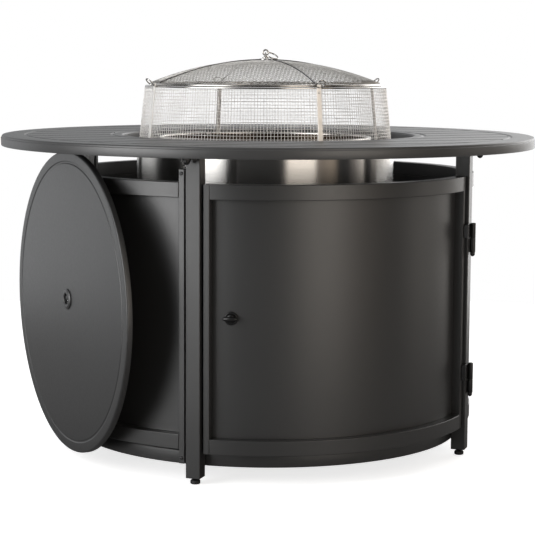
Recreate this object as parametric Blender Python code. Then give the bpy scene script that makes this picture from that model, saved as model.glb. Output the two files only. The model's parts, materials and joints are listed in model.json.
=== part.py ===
"""Round fire pit table on four posts, with a curved door, a spark screen and a lid stored on its side.

Metres, +Z up. The origin is on the floor under the middle of the table. The door faces -Y, and an azimuth
is the angle from -Y towards +X. Every piece is drawn at azimuth 0 and then turned to its place.
"""

from math import atan2, cos, pi, radians, sin, sqrt

import bmesh
import bpy
from mathutils import Matrix, Vector

# ---------------------------------------------------------------- driving dimensions
GAP = 0.0004  # between pieces that touch on the real object

TOP_RADIUS = 0.5443
TOP_HEIGHT = 0.639
RIM_HEIGHT = 0.021
OPENING_RADIUS = 0.2985
TOP_SHEET = 0.0035

POST_SIDE = 0.0285
POST_WALL = 0.002
POST_FACE_RADIUS = 0.426  # from the middle of the table to a post's outer face
POST_BOTTOM = 0.012
POST_AZIMUTHS = {"fl": -45, "fr": 45, "br": 135, "bl": -135}

DOOR_RADIUS = 0.420
SIDE_RADIUS = 0.4215
FRAME_DEPTH = 0.025
FRAME_RAIL = 0.0287
FRAME_STILE_DEG = 1.62
DOOR_BOTTOM, DOOR_TOP = 0.0590, 0.5645
SIDE_BOTTOM, SIDE_TOP = 0.0651, 0.5670
STILE_BOTTOM, STILE_TOP = 0.0381, 0.5912
HALF_PANEL_DEG = 42.5  # half the arc that a door or a side frame covers
PANEL_SETBACK = 0.018
PANEL_SHEET = 0.002
SIDE_AZIMUTHS = {"left": -90, "back": 180, "right": 90}

BASE_RADIUS = 0.395
BASE_BOTTOM, BASE_TOP = 0.032, 0.057

HINGE_AZIMUTH = 44.6
HINGE_AXIS_RADIUS = 0.4325
HINGE_BARREL = 0.0055
HINGE_BORE = 0.0038
HINGE_PIN = 0.0034
HINGES = {"upper": (0.4126, 0.4417, 0.4711), "lower": (0.1291, 0.1562, 0.1895)}  # bottom, split, top

LATCH_AZIMUTH = -35.7
LATCH_HEIGHT = 0.315

FIRE_X, FIRE_Y = -0.0054, 0.0026  # the drum and all it carries sit a little off the table's centre
DRUM_RADIUS = 0.264
DRUM_BOTTOM, DRUM_TOP = 0.505, 0.610
SHEET = 0.002
BOWL_RADIUS = 0.218
BOWL_BOTTOM, BOWL_TOP = 0.531, 0.635
GRATE_RADIUS = 0.158

SCREEN_WIRE = 0.0025  # radius of the hoops
SCREEN_SHEET = 0.0012
SCREEN_BOTTOM_RADIUS = 0.260
SCREEN_TOP_RADIUS = 0.247
SCREEN_BOTTOM, SCREEN_TOP = 0.6157, 0.7350
STRIP_AZIMUTHS = {"front": -1.75, "right": 89.9, "back": 177.7, "left": -88.5}
HANDLE_RADIUS = 0.0095
HANDLE_WIRE = 0.0015
HANDLE_LEAN_DEG = 45.0  # from upright
DOME_RADIUS = 0.235
DOME_EDGE, DOME_APEX = 0.7442, 0.7905

RING_AZIMUTH = 63.9  # the way the loose ring on top has fallen
RING_RADIUS = 0.0135
RING_WIRE = 0.0015
RING_DROP_DEG = 22.0
RING_ROLL_DEG = -20.0
EYE_HEIGHT = 0.8055
EYE_RADIUS = 0.0055
EYE_WIRE = 0.0017

LID_RADIUS = 0.2970
LID_THICKNESS = 0.0116
LID_FACE_X = -0.4355
LID_HEIGHT = 0.315
LID_YAW_DEG = 1.1  # it hangs a little askew
LID_HOLE = 0.0085
LID_HOLE_Y, LID_HOLE_Z = 0.008, 0.005  # from the middle of the lid
PEG_RADIUS = 0.005

ROUND = 48  # sides of a large round piece
TOP_ROUND = 64
ARC_STEPS = 20  # facets along a door or a side frame

COLOURS = {
    "charcoal": ((0.085, 0.085, 0.087), 0.55, 0.0),
    "top_charcoal": ((0.12, 0.12, 0.122), 0.6, 0.0),
    "black": ((0.012, 0.012, 0.013), 0.5, 0.0),
    "rubber": ((0.02, 0.02, 0.02), 0.8, 0.0),
    "stainless": ((0.62, 0.60, 0.57), 0.28, 1.0),
    "screen_steel": ((0.66, 0.64, 0.61), 0.35, 1.0),
    "bowl_steel": ((0.42, 0.38, 0.34), 0.4, 1.0),
    "cast_grate": ((0.03, 0.03, 0.03), 0.8, 0.0),
}


# ---------------------------------------------------------------- tools
def clear_scene():
    for obj in list(bpy.data.objects):
        bpy.data.objects.remove(obj)


def material(name):
    found = bpy.data.materials.get(name)
    if found:
        return found
    colour, roughness, metallic = COLOURS[name]
    made = bpy.data.materials.new(name)
    made.use_nodes = True
    shader = made.node_tree.nodes["Principled BSDF"]
    shader.inputs["Base Color"].default_value = (*colour, 1)
    shader.inputs["Roughness"].default_value = roughness
    shader.inputs["Metallic"].default_value = metallic
    return made


def new_object(name, bm, finish):
    """Closes a bmesh into an object whose faces point out."""
    bmesh.ops.remove_doubles(bm, verts=bm.verts, dist=1e-6)
    bmesh.ops.recalc_face_normals(bm, faces=bm.faces)
    mesh = bpy.data.meshes.new(name)
    bm.to_mesh(mesh)
    bm.free()
    mesh.shade_smooth()
    mesh.set_sharp_from_angle(angle=radians(35))
    mesh.materials.append(material(finish))
    obj = bpy.data.objects.new(name, mesh)
    bpy.context.scene.collection.objects.link(obj)
    return obj


def bmesh_lathe(bm, profile, sides, start=0.0):
    """Turns a closed (radius, height) outline about Z."""
    rings = []
    for i in range(sides):
        angle = start + 2 * pi * i / sides
        rings.append([bm.verts.new((r * sin(angle), -r * cos(angle), z)) for r, z in profile])
    for i in range(sides):
        here, there = rings[i], rings[(i + 1) % sides]
        for j in range(len(profile)):
            k = (j + 1) % len(profile)
            if profile[j][0] == 0 and profile[k][0] == 0:
                continue
            corners = [here[j], here[k], there[k], there[j]]
            if profile[j][0] == 0:
                corners = [here[j], here[k], there[k]]
            elif profile[k][0] == 0:
                corners = [here[j], here[k], there[j]]
            bm.faces.new(corners)


def lathe(name, profile, finish, sides=ROUND):
    bm = bmesh.new()
    bmesh_lathe(bm, profile, sides)
    return new_object(name, bm, finish)


def hoop_profile(radius, wire, height, sides=6):
    """The outline of a round wire bent into a hoop, with a point at its top and one at its bottom."""
    points = []
    for i in range(sides):
        angle = pi / 2 + 2 * pi * i / sides
        points.append((radius + wire * cos(angle), height + wire * sin(angle)))
    return points


def straight(x, y, z):
    return Vector((x, y, z))


def polar(azimuth, radius, z):
    """Maps (azimuth in degrees, radius, z) to a point, with azimuth 0 along -Y."""
    return Vector((radius * sin(radians(azimuth)), -radius * cos(radians(azimuth)), z))


def bmesh_cells(bm, us, vs, ws, filled, place=straight):
    """Adds the skin of the filled cells of a grid, with place mapping grid coordinates to points."""
    corners = {}

    def corner(i, j, k):
        if (i, j, k) not in corners:
            corners[i, j, k] = bm.verts.new(place(us[i], vs[j], ws[k]))
        return corners[i, j, k]

    def solid(i, j, k):
        inside = 0 <= i < len(us) - 1 and 0 <= j < len(vs) - 1 and 0 <= k < len(ws) - 1
        return inside and filled(i, j, k)

    for i in range(len(us) - 1):
        for j in range(len(vs) - 1):
            for k in range(len(ws) - 1):
                if not solid(i, j, k):
                    continue
                for step in (0, 1):
                    if not solid(i - 1 + 2 * step, j, k):
                        a = i + step
                        bm.faces.new([corner(a, j, k), corner(a, j + 1, k),
                                      corner(a, j + 1, k + 1), corner(a, j, k + 1)])
                    if not solid(i, j - 1 + 2 * step, k):
                        b = j + step
                        bm.faces.new([corner(i, b, k), corner(i + 1, b, k),
                                      corner(i + 1, b, k + 1), corner(i, b, k + 1)])
                    if not solid(i, j, k - 1 + 2 * step):
                        c = k + step
                        bm.faces.new([corner(i, j, c), corner(i + 1, j, c),
                                      corner(i + 1, j + 1, c), corner(i, j + 1, c)])


def cells(name, us, vs, ws, filled, finish, place=straight):
    bm = bmesh.new()
    bmesh_cells(bm, us, vs, ws, filled, place)
    return new_object(name, bm, finish)


def bmesh_box(bm, low, high):
    bmesh_cells(bm, (low[0], high[0]), (low[1], high[1]), (low[2], high[2]), lambda i, j, k: True)


def boxes(name, pairs, finish):
    """One mesh of separate boxes, each given by its low and its high corner."""
    bm = bmesh.new()
    for low, high in pairs:
        bmesh_box(bm, low, high)
    return new_object(name, bm, finish)


def rod(name, radius, start, end, finish, sides=12):
    """A round rod between two points."""
    start, end = Vector(start), Vector(end)
    bm = bmesh.new()
    half = (end - start).length / 2
    bmesh.ops.create_cone(bm, cap_ends=True, segments=sides, radius1=radius, radius2=radius, depth=2 * half)
    turn = (end - start).to_track_quat("Z", "Y").to_matrix().to_4x4()
    bm.transform(Matrix.Translation((start + end) / 2) @ turn)
    return new_object(name, bm, finish)


def combine(obj, other, operation):
    """Adds a Boolean whose operand stays as a hidden helper."""
    other.hide_render = True
    other.display_type = "WIRE"
    modifier = obj.modifiers.new(operation.title(), "BOOLEAN")
    modifier.operation = operation
    modifier.object = other
    modifier.solver = "EXACT"
    return obj


def baked_mesh(obj):
    """The mesh of an object with its modifiers applied, with the object and its helpers removed."""
    graph = bpy.context.evaluated_depsgraph_get()
    mesh = bpy.data.meshes.new_from_object(obj.evaluated_get(graph))
    helpers = [modifier.object for modifier in obj.modifiers]
    for used in (obj, *helpers):
        bpy.data.objects.remove(used)
    return mesh


def copy_at(name, mesh, azimuth):
    """A copy of a mesh that was drawn at azimuth 0."""
    obj = bpy.data.objects.new(name, mesh)
    obj.rotation_euler.z = radians(azimuth)
    bpy.context.scene.collection.objects.link(obj)
    return obj


def turn_to(azimuth, *objects):
    """Turns pieces drawn at azimuth 0, and their helpers, to their place."""
    for obj in objects:
        obj.matrix_world = Matrix.Rotation(radians(azimuth), 4, "Z") @ obj.matrix_world
        for modifier in obj.modifiers:
            helper = modifier.object
            helper.matrix_world = Matrix.Rotation(radians(azimuth), 4, "Z") @ helper.matrix_world


def move_to_fire(*objects, helpers=True):
    """Moves pieces drawn round the table's axis to the fire's own centre."""
    for obj in objects:
        obj.location += Vector((FIRE_X, FIRE_Y, 0))
        if helpers:
            move_to_fire(*(modifier.object for modifier in obj.modifiers))


def hang_on(name, place, *objects):
    """Parents pieces, and their helpers, to an empty that marks their joint."""
    empty = bpy.data.objects.new(name, None)
    empty.location = place
    bpy.context.scene.collection.objects.link(empty)
    bpy.context.view_layer.update()
    for obj in objects:
        for piece in (obj, *(modifier.object for modifier in obj.modifiers)):
            piece.parent = empty
            piece.matrix_parent_inverse = empty.matrix_world.inverted()
    return empty


def arc_angles(half, extra=()):
    """Azimuths from -half to half in equal steps, with the extra ones put in on both sides."""
    inner = half if not extra else min(extra)
    count = ARC_STEPS - 2 * len(extra)
    found = {-inner + 2 * inner * i / count for i in range(count + 1)}
    for angle in (half, *extra):
        if angle > inner:
            found |= {angle, -angle}
    return sorted(found)


# ---------------------------------------------------------------- table top
def make_top():
    underside = TOP_HEIGHT - RIM_HEIGHT
    below_sheet = TOP_HEIGHT - TOP_SHEET
    lathe("table_top", [
        (TOP_RADIUS, underside),
        (TOP_RADIUS - 0.0015, TOP_HEIGHT - 0.0085),
        (TOP_RADIUS - 0.0032, TOP_HEIGHT - 0.0035),
        (TOP_RADIUS - 0.0060, TOP_HEIGHT - 0.0009),
        (TOP_RADIUS - 0.0095, TOP_HEIGHT),
        (OPENING_RADIUS + 0.0035, TOP_HEIGHT),
        (OPENING_RADIUS + 0.0010, TOP_HEIGHT - 0.0010),
        (OPENING_RADIUS, TOP_HEIGHT - 0.0035),
        (OPENING_RADIUS, underside),
        (OPENING_RADIUS + 0.0028, underside),
        (OPENING_RADIUS + 0.0028, below_sheet),
        (TOP_RADIUS - 0.0060, below_sheet),
        (TOP_RADIUS - 0.0030, underside),
    ], "top_charcoal", TOP_ROUND)
    bottom = underside + 0.0005
    inner, outer = OPENING_RADIUS + 0.0040, TOP_RADIUS - 0.0060
    lathe("under_plate", [(outer, bottom), (outer, bottom + SHEET), (inner, bottom + SHEET), (inner, bottom)],
          "charcoal", TOP_ROUND)


# ---------------------------------------------------------------- posts, feet and top brackets
def make_posts():
    half = POST_SIDE / 2
    hollow = half - POST_WALL
    middle = -(POST_FACE_RADIUS - half)
    top = TOP_HEIGHT - RIM_HEIGHT
    plug = POST_BOTTOM + 0.008
    across = (-half, -hollow, hollow, half)
    depths = tuple(middle + a for a in across)
    post = cells("post", across, depths, (POST_BOTTOM, plug, top),
                 lambda i, j, k: not (i == 1 and j == 1 and k == 1), "charcoal")
    stem_hole = rod("stem_hole", 0.0046, (0, middle, 0), (0, middle, plug + 0.01), "black")
    mesh = baked_mesh(combine(post, stem_hole, "DIFFERENCE"))
    for name, azimuth in POST_AZIMUTHS.items():
        copy_at(f"post_{name}", mesh, azimuth)
    make_feet(middle)
    make_top_brackets(top)


def make_feet(middle):
    """Levelling feet: a domed pad on a threaded stem that screws into the plug of the post."""
    pad = 0.0095
    bm = bmesh.new()
    bmesh_lathe(bm, [(0, 0), (pad - 0.0015, 0), (pad, 0.0015), (pad, 0.0065), (pad - 0.002, 0.0085),
                     (0.004, 0.0085), (0.004, 0.045), (0, 0.045)], 16)
    foot = new_object("foot", bm, "rubber")
    for name, azimuth in POST_AZIMUTHS.items():
        obj = bpy.data.objects.new(f"foot_{name}", foot.data)
        obj.location = polar(azimuth, -middle, 0)
        bpy.context.scene.collection.objects.link(obj)
    bpy.data.objects.remove(foot)


def make_top_brackets(top):
    """Tabs outside the posts that hold the table top, each with a domed nut and a smaller one."""
    tab_top = top + 0.0001
    tab_bottom = tab_top - 0.003
    tab = boxes("tab", [((-0.016, -0.456, tab_bottom), (0.016, -POST_FACE_RADIUS - GAP, tab_top))], "black")
    bm = bmesh.new()
    for x, y, radius, bottom in ((-0.0045, -0.4440, 0.0072, 0.6000), (0.0080, -0.4380, 0.0045, 0.6035)):
        nut = bmesh.new()
        bmesh_lathe(nut, [(0, bottom), (radius * 0.62, bottom + radius * 0.2), (radius, bottom + radius * 0.8),
                          (radius, tab_bottom + 0.001), (0, tab_bottom + 0.001)], 12)
        nut.transform(Matrix.Translation((x, y, 0)))
        mesh = bpy.data.meshes.new("nut")
        nut.to_mesh(mesh)
        nut.free()
        bm.from_mesh(mesh)
        bpy.data.meshes.remove(mesh)
    nuts = new_object("nuts", bm, "black")
    mesh = baked_mesh(combine(tab, nuts, "UNION"))
    for name, azimuth in POST_AZIMUTHS.items():
        copy_at(f"top_bracket_{name}", mesh, azimuth)


# ---------------------------------------------------------------- base
def make_base():
    inner, flange, ledge = BASE_RADIUS - 0.003, BASE_RADIUS - 0.021, BASE_BOTTOM + 0.018
    lathe("base_ring", [
        (BASE_RADIUS, BASE_BOTTOM), (BASE_RADIUS, BASE_TOP), (inner, BASE_TOP), (inner, ledge + 0.003),
        (flange, ledge + 0.003), (flange, ledge), (inner, ledge), (inner, BASE_BOTTOM),
    ], "charcoal")
    floor = ledge + 0.003 + GAP
    edge = inner - 0.001
    lathe("floor_shelf", [(0, floor), (edge, floor), (edge, floor + 0.003), (0, floor + 0.003)], "charcoal")


# ---------------------------------------------------------------- curved frames and panels
def frame_and_panel(frame_name, panel_name, radius, bottom, top, stile_bottom, stile_top):
    """A curved frame with a rebate, and the sheet that sits in it, both at azimuth 0."""
    window = HALF_PANEL_DEG - FRAME_STILE_DEG
    lip_angle = window - 0.7
    lip = 0.005
    sheet_back = radius - PANEL_SETBACK - PANEL_SHEET
    azimuths = arc_angles(HALF_PANEL_DEG, (window, lip_angle))
    radii = (radius - FRAME_DEPTH, sheet_back - GAP, radius)
    heights = sorted({stile_bottom, bottom, bottom + FRAME_RAIL, bottom + FRAME_RAIL + lip,
                      top - FRAME_RAIL - lip, top - FRAME_RAIL, top, stile_top})

    def filled(i, j, k):
        azimuth = abs(azimuths[i] + azimuths[i + 1]) / 2
        z = (heights[k] + heights[k + 1]) / 2
        if azimuth > window:
            return True
        if not bottom < z < top:
            return False
        margin = lip if j == 0 else 0
        in_rail = z < bottom + FRAME_RAIL + margin or z > top - FRAME_RAIL - margin
        return in_rail or (j == 0 and azimuth > lip_angle)

    frame = cells(frame_name, azimuths, radii, heights, filled, "charcoal", polar)
    edge = window - 0.06
    panel = cells(panel_name, sorted([a for a in azimuths if abs(a) < edge] + [edge, -edge]),
                  (sheet_back, sheet_back + PANEL_SHEET),
                  (bottom + FRAME_RAIL + GAP, top - FRAME_RAIL - GAP), lambda i, j, k: True, "charcoal", polar)
    return frame, panel


def make_sides():
    for name, azimuth in SIDE_AZIMUTHS.items():
        pieces = frame_and_panel(f"frame_{name}", f"panel_{name}", SIDE_RADIUS, SIDE_BOTTOM, SIDE_TOP,
                                 STILE_BOTTOM, STILE_TOP)
        turn_to(azimuth, *pieces)


# ---------------------------------------------------------------- door, hinges and latch
def make_door():
    frame, panel = frame_and_panel("door_frame", "door_panel", DOOR_RADIUS, DOOR_BOTTOM, DOOR_TOP,
                                   DOOR_BOTTOM, DOOR_TOP)
    panel_face = DOOR_RADIUS - PANEL_SETBACK
    hole = rod("latch_hole", 0.0050, (0, -panel_face - 0.02, LATCH_HEIGHT),
               (0, -panel_face + 0.02, LATCH_HEIGHT), "black", 16)
    turn_to(LATCH_AZIMUTH, hole)
    combine(panel, hole, "DIFFERENCE")
    leaves = make_hinges()
    escutcheon, lever, cam = make_latch(panel_face)
    hang_on("door_axis", polar(HINGE_AZIMUTH, HINGE_AXIS_RADIUS, 0), frame, panel, *leaves, escutcheon)
    hang_on("latch_axis", polar(LATCH_AZIMUTH, panel_face, LATCH_HEIGHT), lever, cam)


def barrel(name, bottom, top):
    """A hinge knuckle with a bore, on the hinge's axis at azimuth 0."""
    bm = bmesh.new()
    bmesh_lathe(bm, [(HINGE_BORE, bottom), (HINGE_BARREL, bottom), (HINGE_BARREL, top), (HINGE_BORE, top)], 16)
    bm.transform(Matrix.Translation((0, -HINGE_AXIS_RADIUS, 0)))
    return new_object(name, bm, "black")


def make_hinges():
    """Two lift-off hinges: the lower knuckle and the pin stay on the post, the upper one is on the door."""
    door_leaves = []
    plate_face, plate_back = -0.4286, -0.4268
    for name, (bottom, split, top) in HINGES.items():
        fixed = barrel(f"hinge_{name}_post", bottom, split - GAP)
        plate = boxes("post_leaf", [((-0.011, -0.4284, bottom + 0.0005),
                                     (0.011, -POST_FACE_RADIUS - GAP, split - 0.001))], "black")
        combine(fixed, plate, "UNION")
        swung = barrel(f"hinge_{name}_door", split, top)
        leaf = boxes("door_leaf", [((-0.0275, plate_face, split + 0.0005), (0, plate_back, top - 0.0005))],
                     "black")
        step = boxes("door_leaf_step", [((-0.0280, plate_face - 0.0002, split + 0.001),
                                         (-0.0165, -DOOR_RADIUS - GAP, top - 0.001))], "black")
        combine(swung, leaf, "UNION")
        combine(swung, step, "UNION")
        bm = bmesh.new()
        tip = bottom - 0.0083
        bmesh_lathe(bm, [(0, tip), (0.0025, tip + 0.0008), (0.0048, tip + 0.004), (0.0048, bottom - GAP),
                         (HINGE_PIN, bottom - GAP), (HINGE_PIN, top - 0.002), (0, top - 0.002)], 12)
        bm.transform(Matrix.Translation((0, -HINGE_AXIS_RADIUS, 0)))
        pin = new_object(f"hinge_{name}_pin", bm, "black")
        turn_to(HINGE_AZIMUTH, fixed, swung, pin)
        door_leaves.append(swung)
    return door_leaves


def make_latch(panel_face):
    """A quarter-turn latch, drawn open: escutcheon, wing and shaft, and a cam that turns behind a post."""
    centre = Matrix.Translation((0, 0, LATCH_HEIGHT))
    quarter = Matrix.Rotation(radians(90), 4, "X")  # takes +Z to -Y, out of the door

    def facing_out(name, profile, sides):
        bm = bmesh.new()
        bmesh_lathe(bm, profile, sides)
        bm.transform(centre @ quarter)
        return new_object(name, bm, "black")

    plate = panel_face + GAP
    escutcheon = facing_out("latch_escutcheon", [
        (0.0050, plate), (0.0128, plate), (0.0128, plate + 0.0015), (0.0110, plate + 0.0030),
        (0.0050, plate + 0.0030)], 24)
    hub = plate + 0.0030 + GAP
    cam_face = 0.3915
    lever = facing_out("latch_lever", [
        (0, cam_face + GAP), (0.0042, cam_face + GAP), (0.0042, hub), (0.0085, hub), (0.0085, hub + 0.0030),
        (0.0060, hub + 0.0050), (0, hub + 0.0050)], 16)
    wing = boxes("latch_wing", [((-0.0150, -hub - 0.0120, LATCH_HEIGHT - 0.0026),
                                 (0.0150, -hub - 0.0020, LATCH_HEIGHT + 0.0026))], "black")
    combine(lever, wing, "UNION")
    cam = boxes("latch_cam", [((-0.0085, -cam_face, LATCH_HEIGHT - 0.0600),
                               (0.0085, -cam_face + 0.0030, LATCH_HEIGHT + 0.0090))], "black")
    turn_to(LATCH_AZIMUTH, escutcheon, lever, cam)
    return escutcheon, lever, cam


# ---------------------------------------------------------------- drum, bowl and grate
def make_drum():
    drum_inner = DRUM_RADIUS - SHEET
    drum = lathe("drum", [
        (0.060, DRUM_BOTTOM), (DRUM_RADIUS, DRUM_BOTTOM), (DRUM_RADIUS, DRUM_TOP), (0.253, DRUM_TOP),
        (0.253, DRUM_TOP - SHEET), (drum_inner, DRUM_TOP - SHEET), (drum_inner, DRUM_BOTTOM + SHEET),
        (0.060, DRUM_BOTTOM + SHEET)], "stainless")
    ring_top = DRUM_BOTTOM - GAP
    support = lathe("drum_support", [(0.262, ring_top - 0.006), (0.262, ring_top), (0.236, ring_top),
                                     (0.236, ring_top - 0.006)], "black")
    bm = bmesh.new()
    reach = POST_FACE_RADIUS - POST_SIDE - GAP
    for azimuth in POST_AZIMUTHS.values():
        arm = bmesh.new()
        bmesh_box(arm, (-0.0125, -reach, ring_top - 0.0050), (0.0125, -0.249, ring_top - 0.0010))
        arm.transform(Matrix.Rotation(radians(azimuth), 4, "Z"))
        mesh = bpy.data.meshes.new("arm")
        arm.to_mesh(mesh)
        arm.free()
        bm.from_mesh(mesh)
        bpy.data.meshes.remove(mesh)
    combine(support, new_object("support_arms", bm, "black"), "UNION")
    stand_bottom = DRUM_BOTTOM + SHEET + GAP
    stand = lathe("bowl_stand", [(0.121, stand_bottom), (0.121, BOWL_BOTTOM - GAP), (0.118, BOWL_BOTTOM - GAP),
                                 (0.118, stand_bottom)], "black", 40)
    move_to_fire(drum, stand)
    move_to_fire(support, helpers=False)


def make_bowl():
    floor = BOWL_BOTTOM + SHEET
    bowl = lathe("fire_bowl", [
        (0.045, BOWL_BOTTOM), (0.178, BOWL_BOTTOM), (0.202, BOWL_BOTTOM + 0.022),
        (0.2125, BOWL_TOP - 0.006), (BOWL_RADIUS, BOWL_TOP - 0.006), (BOWL_RADIUS, BOWL_TOP),
        (0.2100, BOWL_TOP), (0.1998, floor + 0.0225), (0.1770, floor), (0.045, floor)], "bowl_steel")
    bar = 0.008
    ring_bottom = floor + 0.028
    grate = lathe("fire_grate", [(GRATE_RADIUS, ring_bottom), (GRATE_RADIUS, ring_bottom + 0.006),
                                 (GRATE_RADIUS - bar, ring_bottom + 0.006), (GRATE_RADIUS - bar, ring_bottom)],
                  "cast_grate", 40)
    bars, legs = [], []
    for i in range(-3, 4):
        x = 0.04 * i
        reach = sqrt((GRATE_RADIUS - bar / 2) ** 2 - x * x) - 0.001
        bars.append(((x - bar / 2, -reach, ring_bottom + 0.002), (x + bar / 2, reach, ring_bottom + 0.011)))
    for sx in (-1, 1):
        for sy in (-1, 1):
            x, y = sx * 0.109, sy * 0.109
            legs.append(((x - 0.003, y - 0.003, floor + GAP), (x + 0.003, y + 0.003, ring_bottom + 0.001)))
    combine(grate, boxes("grate_bars", bars, "cast_grate"), "UNION")
    combine(grate, boxes("grate_legs", legs, "cast_grate"), "UNION")
    move_to_fire(bowl, grate)
    hang_on("bowl_lift", (FIRE_X, FIRE_Y, BOWL_BOTTOM), bowl, grate)


def make_ash_drawer():
    """A tray under the drum, hung by its flanges on two rails with a stop at the back."""
    ledge = 0.490
    xs = (-0.1565, -0.1545, -0.1425, 0.1425, 0.1545, 0.1565)
    cells("drawer_rails", xs, (-0.150, 0.165, 0.168), (ledge, ledge + SHEET, DRUM_BOTTOM - GAP),
          lambda i, j, k: j == 1 or i in (0, 4) or (i in (1, 3) and k == 0), "black")
    flange = ledge + SHEET + GAP
    xs = (-0.152, -0.140, -0.138, 0.138, 0.140, 0.152)
    ys = (-0.172, -0.160, -0.158, 0.158, 0.160)
    zs = (flange - 0.040, flange - 0.038, flange, flange + SHEET)

    def filled(i, j, k):
        if i in (0, 4):
            return k == 2 and j > 0
        if j == 0:
            return k == 2
        return k == 0 or i in (1, 3) or j in (1, 3)

    drawer = cells("ash_drawer", xs, ys, zs, filled, "charcoal")
    hang_on("drawer_slide", (0, 0, flange), drawer)


# ---------------------------------------------------------------- spark screen
def screen_radius(z):
    """Outer radius of the screen's sloping side at a height."""
    along = (z - SCREEN_BOTTOM) / (SCREEN_TOP - SCREEN_BOTTOM)
    return SCREEN_BOTTOM_RADIUS + (SCREEN_TOP_RADIUS - SCREEN_BOTTOM_RADIUS) * along


def make_screen():
    hoop_height = DRUM_TOP + 0.0003 + SCREEN_WIRE
    base = lathe("screen_base_hoop", hoop_profile(0.2590, SCREEN_WIRE, hoop_height), "screen_steel")
    top, bottom = SCREEN_TOP_RADIUS, SCREEN_BOTTOM_RADIUS
    side = lathe("screen_side_mesh", [
        (bottom, SCREEN_BOTTOM), (top, SCREEN_TOP), (top - SCREEN_SHEET, SCREEN_TOP),
        (bottom - SCREEN_SHEET, SCREEN_BOTTOM)], "screen_steel")
    flange = SCREEN_TOP + GAP
    ring = lathe("screen_top_ring", [(0.2466, flange), (0.2466, flange + 0.003), (0.2325, flange + 0.003),
                                     (0.2325, flange)], "screen_steel")
    strips = [make_strip(name, azimuth) for name, azimuth in STRIP_AZIMUTHS.items()]
    handles = [make_handle(name, azimuth) for name, azimuth in STRIP_AZIMUTHS.items()]
    move_to_fire(base, side, ring, *strips, *handles)
    hang_on("screen_lift", (FIRE_X, FIRE_Y, DRUM_TOP), base, side, ring, *strips, *handles)


def make_strip(name, azimuth):
    """A flat upright outside the screen's side, which rises past the top ring to hold a handle ring."""
    low, high = SCREEN_BOTTOM + GAP, 0.7440
    inside = {low: screen_radius(low) + GAP, high: screen_radius(high) + GAP + 0.0010}
    strip = cells(f"screen_strip_{name}", (-0.005, 0.005), (0, 0.002), (low, high), lambda i, j, k: True,
                  "screen_steel", lambda x, depth, z: Vector((x, -inside[z] - depth, z)))
    turn_to(azimuth, strip)
    return strip


def make_handle(name, azimuth):
    """A small ring welded to the outside of a strip, leaning outwards."""
    bm = bmesh.new()
    bmesh_lathe(bm, hoop_profile(HANDLE_RADIUS, HANDLE_WIRE, 0, 6), 16)
    bm.transform(Matrix.Rotation(radians(HANDLE_LEAN_DEG - 90), 4, "X"))
    bm.transform(Matrix.Translation((0, -0.2583, 0.7455)))
    handle = new_object(f"screen_handle_{name}", bm, "screen_steel")
    turn_to(azimuth, handle)
    return handle


def dome_height(radius, offset=0.0):
    """Height of the dome's outer surface, or of one that lies an offset above it, at a radius."""
    rise = DOME_APEX - DOME_EDGE
    sphere = (DOME_RADIUS**2 + rise**2) / (2 * rise)
    return DOME_APEX - sphere + sqrt((sphere + offset) ** 2 - radius**2)


def make_dome():
    rows = 6
    radii = [DOME_RADIUS * (1 - i / rows) for i in range(rows)]
    outside = [(r, dome_height(r)) for r in radii] + [(0, DOME_APEX)]
    inside = [(0, DOME_APEX - SCREEN_SHEET)]
    inside += [(r, dome_height(r) - SCREEN_SHEET) for r in reversed(radii[1:])]
    inside += [(DOME_RADIUS - 0.004, dome_height(DOME_RADIUS - 0.004) - SCREEN_SHEET)]
    mesh = lathe("dome_mesh", outside + inside, "screen_steel")
    hoop = DOME_EDGE - GAP - SCREEN_WIRE
    frame = lathe("dome_frame", hoop_profile(0.2360, SCREEN_WIRE, hoop), "screen_steel")
    combine(frame, make_ribs(hoop), "UNION")
    eye = make_eye()
    ring = make_loose_ring()
    move_to_fire(mesh, eye, ring)
    move_to_fire(frame)
    hang_on("dome_lift", (FIRE_X, FIRE_Y, DOME_EDGE), mesh, frame, eye)
    hang_on("ring_axis", (FIRE_X, FIRE_Y, EYE_HEIGHT), ring)


def make_ribs(hoop):
    """Four ribs from a hub at the top of the dome down to its hoop, as one cross."""
    width, thickness, steps = 0.0032, 0.0020, 7
    under = GAP + 0.0001
    ends = [0.008] + [0.2375 * i / steps for i in range(1, steps)]
    low = [(r, dome_height(r, under)) for r in ends] + [(0.2352, dome_height(0.2352, under)), (0.2352, hoop)]
    high = [(r, dome_height(r, under + thickness)) for r in ends]
    high += [(0.2372, dome_height(0.2372, under + thickness)), (0.2372, hoop)]
    cross = None
    for azimuth in STRIP_AZIMUTHS.values():
        rib = cells("rib", (-width / 2, width / 2), (0, 1), range(len(low)), lambda i, j, k: True,
                    "screen_steel",
                    lambda x, side, k: Vector((x, -(high if side else low)[k][0], (high if side else low)[k][1])))
        turn_to(azimuth, rib)
        cross = rib if cross is None else combine(cross, rib, "UNION")
    hub = lathe("rib_hub", [(0, DOME_APEX + under), (0.014, dome_height(0.014, under)),
                            (0.014, DOME_APEX + under + 0.0024), (0, DOME_APEX + under + 0.0024)],
                "screen_steel", 20)
    return combine(cross, hub, "UNION")


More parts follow.
